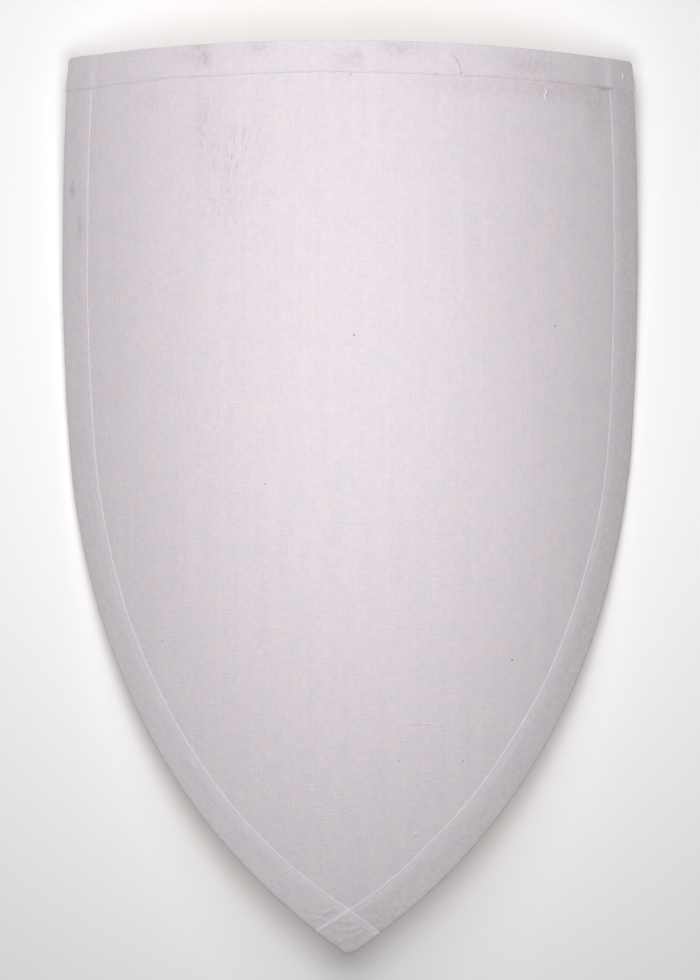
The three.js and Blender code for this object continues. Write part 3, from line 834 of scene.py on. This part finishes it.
def makeSlubTree():
    tree, given = newTree("slubsInTheWeave", {
        "Density": "Float", "Longest": "Float", "Thickness": "Float", "Waver": "Float", "Seed": "Int",
        "Finish": "Material"})
    spots = addNode(tree, "GeometryNodeDistributePointsOnFaces", {
        "Mesh": given["Geometry"], "Density": given["Density"], "Seed": given["Seed"]}).outputs["Points"]
    straight = addNode(tree, "GeometryNodeCurvePrimitiveLine", {
        "Start": (-0.5, 0, 0), "End": (0.5, 0, 0)}).outputs[0]
    thread = addNode(tree, "GeometryNodeResampleCurve", {"Curve": straight, "Count": 9}).outputs[0]
    # a slub runs up the cloth or across it, never quite true
    way = addNode(tree, "FunctionNodeRandomValue", {
        4: 0, 5: 1, "Seed": given["Seed"]}, data_type="INT").outputs[2]
    askew = addNode(tree, "FunctionNodeRandomValue", {
        2: -0.12, 3: 0.12, "Seed": given["Seed"]}, data_type="FLOAT").outputs[1]
    turn = addNode(tree, "ShaderNodeMath", {
        0: way, 1: math.pi / 2, 2: askew}, operation="MULTIPLY_ADD").outputs[0]
    facing = addNode(tree, "ShaderNodeCombineXYZ", {"Z": turn}).outputs[0]
    share = addNode(tree, "FunctionNodeRandomValue", {
        2: 0.3, 3: 1.0, "Seed": given["Seed"]}, data_type="FLOAT").outputs[1]
    length = addNode(tree, "ShaderNodeMath", {0: share, 1: given["Longest"]}, operation="MULTIPLY").outputs[0]
    threads = addNode(tree, "GeometryNodeInstanceOnPoints", {
        "Points": spots, "Instance": thread, "Rotation": facing, "Scale": length}).outputs[0]
    loose = addNode(tree, "GeometryNodeRealizeInstances", {"Geometry": threads}).outputs[0]
    place = addNode(tree, "GeometryNodeInputPosition").outputs[0]
    drift = addNode(tree, "ShaderNodeTexNoise", {
        "Vector": place, "Scale": 180.0, "Detail": 1.0}).outputs["Color"]
    centred = addNode(tree, "ShaderNodeVectorMath", {
        0: drift, 1: (0.5, 0.5, 0.5)}, operation="SUBTRACT").outputs[0]
    sideways = addNode(tree, "ShaderNodeCombineXYZ", {"X": given["Waver"], "Y": given["Waver"]}).outputs[0]
    offset = addNode(tree, "ShaderNodeVectorMath", {0: centred, 1: sideways}, operation="MULTIPLY").outputs[0]
    wavy = addNode(tree, "GeometryNodeSetPosition", {"Geometry": loose, "Offset": offset}).outputs[0]
    done = tapered(tree, wavy, given["Thickness"], given["Finish"])
    addNode(tree, "NodeGroupOutput", {"Geometry": done})
    return tree


def makeLooseEndTree():
    tree, given = newTree("looseEndsAlongPaths", {"Finish": "Material"})
    size = addNode(tree, "GeometryNodeInputNamedAttribute", {
        "Name": "size"}, data_type="FLOAT").outputs["Attribute"]
    path = addNode(tree, "GeometryNodeMeshToCurve", {"Mesh": given["Geometry"]}).outputs[0]
    eased = addNode(tree, "GeometryNodeCurveSplineType", {
        "Curve": path}, spline_type="CATMULL_ROM").outputs[0]
    even = addNode(tree, "GeometryNodeResampleCurve", {"Curve": eased, "Count": 16}).outputs[0]
    done = tapered(tree, even, size, given["Finish"])
    addNode(tree, "NodeGroupOutput", {"Geometry": done})
    return tree


def tapered(tree, curve, radius, finish):    # a round thread that thins towards both ends
    along = addNode(tree, "GeometryNodeSplineParameter").outputs["Factor"]
    rest = addNode(tree, "ShaderNodeMath", {0: 1.0, 1: along}, operation="SUBTRACT").outputs[0]
    arch = addNode(tree, "ShaderNodeMath", {0: along, 1: rest}, operation="MULTIPLY").outputs[0]
    fullness = addNode(tree, "ShaderNodeMapRange", {
        "Value": arch, "From Min": 0.0, "From Max": 0.16, "To Min": 0.2, "To Max": 1.0}).outputs[0]
    scale = addNode(tree, "ShaderNodeMath", {0: fullness, 1: radius}, operation="MULTIPLY").outputs[0]
    section = addNode(tree, "GeometryNodeCurvePrimitiveCircle", {"Resolution": 6, "Radius": 1.0}).outputs[0]
    tube = addNode(tree, "GeometryNodeCurveToMesh", {
        "Curve": curve, "Profile Curve": section, "Scale": scale, "Fill Caps": True}).outputs[0]
    whole = addNode(tree, "GeometryNodeRealizeInstances", {"Geometry": tube}).outputs[0]
    return addNode(tree, "GeometryNodeSetMaterial", {"Geometry": whole, "Material": finish}).outputs[0]


def makeSpeckTree():
    tree, given = newTree("specksOnTheFace", {"Flatness": "Float", "Finish": "Material"})
    size = addNode(tree, "GeometryNodeInputNamedAttribute", {
        "Name": "size"}, data_type="FLOAT").outputs["Attribute"]
    height = addNode(tree, "ShaderNodeMath", {0: size, 1: given["Flatness"]}, operation="MULTIPLY").outputs[0]
    scale = addNode(tree, "ShaderNodeCombineXYZ", {"X": size, "Y": size, "Z": height}).outputs[0]
    grain = addNode(tree, "GeometryNodeMeshIcoSphere", {"Radius": 1.0, "Subdivisions": 2}).outputs[0]
    specks = addNode(tree, "GeometryNodeInstanceOnPoints", {
        "Points": given["Geometry"], "Instance": grain, "Scale": scale}).outputs[0]
    whole = addNode(tree, "GeometryNodeRealizeInstances", {"Geometry": specks}).outputs[0]
    done = addNode(tree, "GeometryNodeSetMaterial", {
        "Geometry": whole, "Material": given["Finish"]}).outputs[0]
    addNode(tree, "NodeGroupOutput", {"Geometry": done})
    return tree


# Dust and hair: tiny, dry and dull, a little uneven in tone.
def makeSpeckFinish(name, colour):
    material, tree = newMaterial(name)
    place = addNode(tree, "ShaderNodeTexCoord").outputs["Object"]
    uneven = addNode(tree, "ShaderNodeTexNoise", {
        "Vector": place, "Scale": 1 / (specksFinish["toneCell"] * mm), "Detail": 1.0}).outputs["Fac"]
    shade = addNode(tree, "ShaderNodeMapRange", {"Value": uneven, "To Min": 0.7, "To Max": 1.3}).outputs[0]
    toned = addNode(tree, "ShaderNodeMix", {
        0: 1.0, 6: linearColour(colour), 7: shade}, data_type="RGBA", blend_type="MULTIPLY").outputs[2]
    surface = addNode(tree, "ShaderNodeBsdfPrincipled", {
        "Base Color": toned, "Roughness": specksFinish["roughness"], "Specular IOR Level": 0.2})
    addNode(tree, "ShaderNodeOutputMaterial", {"Surface": surface.outputs[0]})
    return material


def makeSlubs(mark):
    width, topLine = edgeStrip["sideWidth"], shieldShape["topHeight"] - edgeStrip["topWidth"]
    u, v = sheetGrid(mark["slubGrid"], mark["slubEdge"])
    index = np.arange(u.size).reshape(u.shape)
    faces = np.stack((index[:-1, :-1], index[:-1, 1:], index[1:, 1:], index[1:, :-1]), axis=2).reshape(-1, 4)
    midU, midV = u.ravel()[faces].mean(axis=1), v.ravel()[faces].mean(axis=1)
    # none where a raw edge makes a step, nor round the folds
    rawEdges = insideStrip(midU, midV, width), insideStrip(-midU, midV, width), midV - topLine
    steps = np.abs(rawEdges).min(axis=0)
    inside = (midV > mark["slubLowest"]) & (midV < shieldShape["topHeight"] - mark["slubEdge"])
    faces = faces[(steps > mark["slubEdge"]) & inside].tolist()
    heights = faceHeight(u, v) - mark["slubSink"]
    slubs = newPiece("weave_slubs", np.column_stack((u.ravel(), v.ravel(), heights.ravel())), faces)
    runTree(slubs, makeSlubTree(), {**mark["slubs"], "Finish": primedCanvas})
    layDown(slubs, primedCanvas)
    finishPiece(slubs, None)


def makeThreads(name, threads, tree, finish):
    points, edges, sizes = [], [], []
    for radius, path in threads:
        first = sum(len(laid) for laid in points)
        points.append(onFace(path, -faceMarks["threadLift"]))
        edges += [(first + i, first + i + 1) for i in range(len(path) - 1)]
        sizes += [radius * mm] * len(path)
    piece = newPiece(name, np.concatenate(points), [], size=sizes)
    piece.data.edges.add(len(edges))
    piece.data.edges.foreach_set("vertices", np.ravel(edges))
    runTree(piece, tree, {"Finish": finish})
    layDown(piece, finish)
    finishPiece(piece, None)


def makeSpecks(name, specks, tree, finish):
    piece = newPiece(name, onFace(specks, faceMarks["speckSink"]), [],
                     size=[radius * mm for _, _, radius in specks])
    runTree(piece, tree, {"Flatness": faceMarks["speckFlatness"], "Finish": finish})
    layDown(piece, finish)
    finishPiece(piece, None)


looseEndTree, speckTree = makeLooseEndTree(), makeSpeckTree()
makeSlubs(faceMarks)
greyDust = makeSpeckFinish("grey dust", specksFinish["dust"])
makeThreads("loose_ends", faceMarks["looseEnds"], looseEndTree, primedCanvas)
brownHair = makeSpeckFinish("brown hair", specksFinish["hair"])
makeThreads("stray_hair", faceMarks["hair"], looseEndTree, brownHair)
makeSpecks("dark_specks", faceMarks["darkSpecks"], speckTree, greyDust)
makeSpecks("pale_nubs", faceMarks["paleNubs"], speckTree, primedCanvas)
print("marks made")


# Floor, light and camera

def shieldPlace(across, up, height):         # a place over the flat pattern, once the shield lies
    turn = Matrix.Rotation(lyingPitch, 4, "X")
    return turn @ Vector((across * mm, up * mm, height * mm)) + Vector((0, laying["Forward"], laying["Lift"]))


studio = {
    "floorColour": "#F4F3F3", "floorGlow": 0.26, "floorSize": 80.0,
    "horizon": 0.5, "zenith": 0.02, "horizonHeight": 0.4,    # light from the air, low down and overhead
    "key": {"place": (-90, 1200, 800), "aim": (0, 450, 0), "size": 0.9, "power": 6.1},
    "fill": {"place": (2, 440, 810), "aim": (0, 450, 0), "size": 0.5, "power": 4.5},
}
photoView = {"height": 440.5, "distance": 1905.0, "focalPixels": 1996.0, "imageHeight": 980, "sensor": 36.0}


def makeFloor():
    half = studio["floorSize"] / 2
    corners = [(-half, -half), (half, -half), (half, half), (-half, half)]
    mesh = bpy.data.meshes.new("studio_floor")
    mesh.from_pydata([(x, y, cadBox[0].z) for x, y in corners], [], [(0, 1, 2, 3)])
    floor = bpy.data.objects.new("studio_floor", mesh)
    bpy.context.scene.collection.objects.link(floor)
    material, tree = newMaterial("pale floor")
    surface = addNode(tree, "ShaderNodeBsdfPrincipled", {
        "Base Color": linearColour(studio["floorColour"]), "Roughness": 0.95, "Specular IOR Level": 0.1,
        "Emission Color": linearColour(studio["floorColour"]), "Emission Strength": studio["floorGlow"]})
    addNode(tree, "ShaderNodeOutputMaterial", {"Surface": surface.outputs[0]})
    mesh.materials.append(material)


def makeLamp(name, lamp):
    light = bpy.data.lights.new(name, "AREA")
    light.shape = "DISK"
    light.size = lamp["size"]
    light.energy = lamp["power"]
    holder = bpy.data.objects.new(name, light)
    bpy.context.scene.collection.objects.link(holder)
    holder.visible_camera = False
    holder.location = shieldPlace(*lamp["place"])
    holder.rotation_euler = (shieldPlace(*lamp["aim"]) - holder.location).to_track_quat("-Z", "Y").to_euler()


def makeCamera(view):
    lens = bpy.data.cameras.new("photo_view")
    lens.sensor_fit = "AUTO"
    lens.sensor_width = view["sensor"]
    lens.lens = view["focalPixels"] / view["imageHeight"] * lens.sensor_width
    camera = bpy.data.objects.new("photo_view", lens)
    bpy.context.scene.collection.objects.link(camera)
    camera.location = shieldPlace(0, view["height"], view["distance"])
    camera.rotation_euler = (lyingPitch, 0, 0)
    bpy.context.scene.camera = camera


def makeAir():
    world = bpy.data.worlds.new("studio air")
    world.use_nodes = True
    tree = world.node_tree
    tree.nodes.clear()
    towards = addNode(tree, "ShaderNodeTexCoord").outputs["Generated"]
    up = addNode(tree, "ShaderNodeSeparateXYZ", {0: towards}).outputs["Z"]
    strength = addNode(tree, "ShaderNodeMapRange", {
        "Value": up, "From Min": 0.0, "From Max": studio["horizonHeight"],
        "To Min": studio["horizon"], "To Max": studio["zenith"]}, interpolation_type="SMOOTHSTEP").outputs[0]
    light = addNode(tree, "ShaderNodeBackground", {"Color": (1, 1, 1, 1), "Strength": strength})
    addNode(tree, "ShaderNodeOutputWorld", {"Surface": light.outputs[0]})
    bpy.context.scene.world = world


makeFloor()
makeLamp("key light", studio["key"])
makeLamp("fill light", studio["fill"])
makeAir()
makeCamera(photoView)
bpy.context.scene.view_settings.view_transform = "Standard"
print("studio set")
